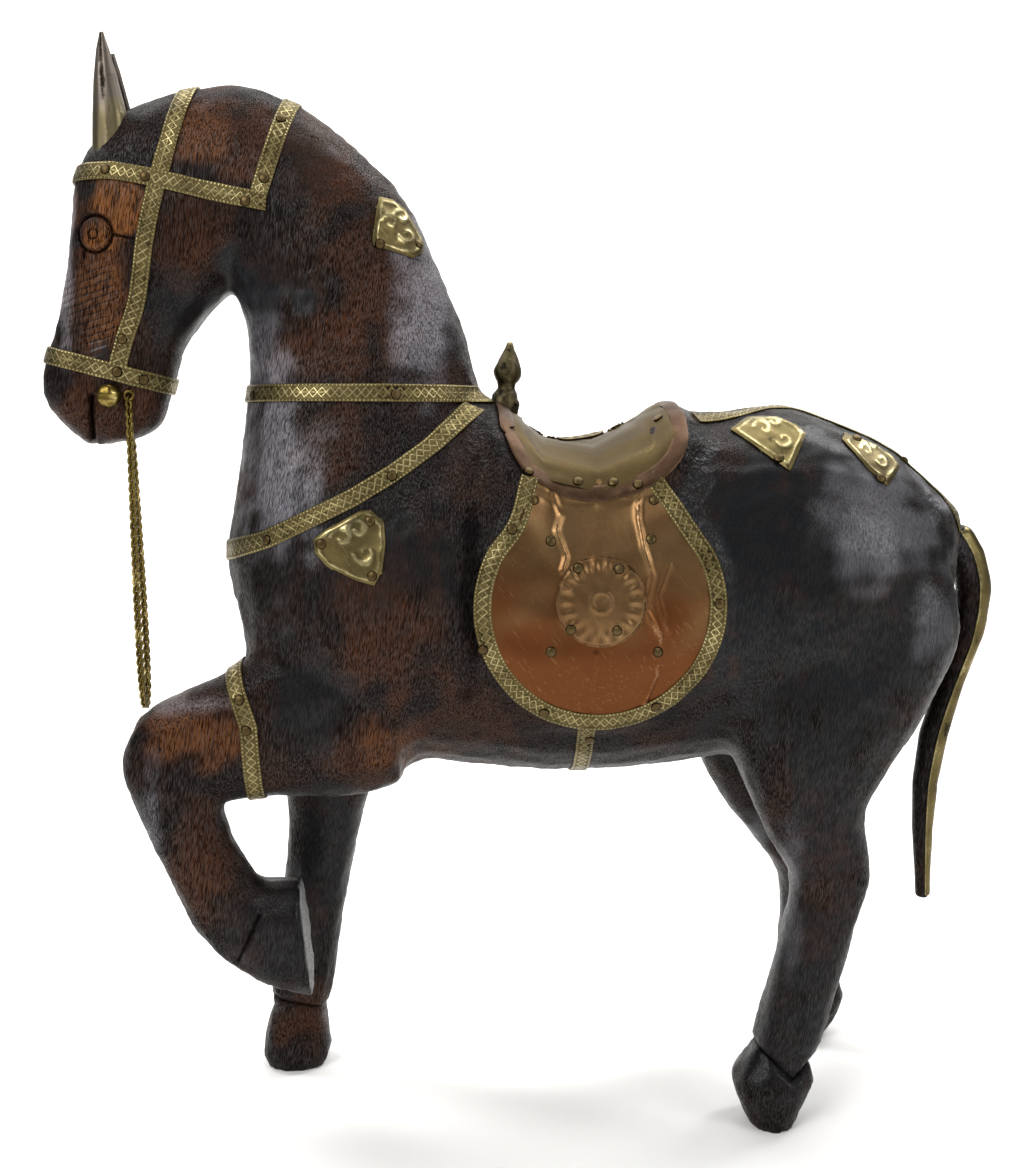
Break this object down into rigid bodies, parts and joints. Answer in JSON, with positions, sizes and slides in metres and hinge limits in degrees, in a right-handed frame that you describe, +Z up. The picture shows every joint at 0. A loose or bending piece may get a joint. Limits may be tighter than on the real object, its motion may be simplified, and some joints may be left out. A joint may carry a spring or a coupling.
{
  "type": "carved wooden horse sculpture",
  "caption": "Carved wooden horse with one foreleg raised and nailed sheet brass and copper bridle, saddle and straps, to stand on a shelf or table.",
  "frame": {"origin": "on the floor, under the middle of the whole horse's box", "axes": "+Z up; the horse faces -X; its left side, with the raised foreleg, is towards -Y"},
  "size_m": [0.371, 0.106, 0.4078],
  "materials": {
    "wood": "dark stained carved hardwood rubbed to a soft sheen, redder where it is worn",
    "brass": "aged sheet brass, stamped and nailed on",
    "copper": "aged sheet copper with a brown patina",
    "bronze": "dark turned bronze"
  },
  "bodies": {
    "root": {"wooden_horse": "wood", "tail": "wood", "ear_left": "brass", "ear_right": "brass", "browband": "brass", "crown_strap": "brass", "poll_strap": "brass", "noseband": "brass", "cheek_strap_left": "brass", "cheek_strap_right": "brass", "bit_boss_left": "brass", "bit_boss_right": "brass", "bit_ring_left": "brass", "bit_ring_right": "brass", "rein_chain": "brass", "neck_collar": "brass", "breast_strap": "brass", "neck_plaque_left": "brass", "neck_plaque_right": "brass", "breast_plaque_left": "brass", "breast_plaque_right": "brass", "saddle_seat": "brass", "seat_rosette": "brass", "saddle_rim": "copper", "pommel_finial": "bronze", "saddle_flap_left": "copper", "saddle_flap_right": "copper", "flap_disc_left": "copper", "flap_disc_right": "copper", "flap_trim_left": "brass", "flap_trim_right": "brass", "girth_strap": "brass", "crupper_strap_left": "brass", "crupper_strap_right": "brass", "front_croup_plaque_left": "brass", "front_croup_plaque_right": "brass", "rear_croup_plaque_left": "brass", "rear_croup_plaque_right": "brass", "foreleg_band": "brass", "tail_strip": "brass"}
  },
  "joints": []
}
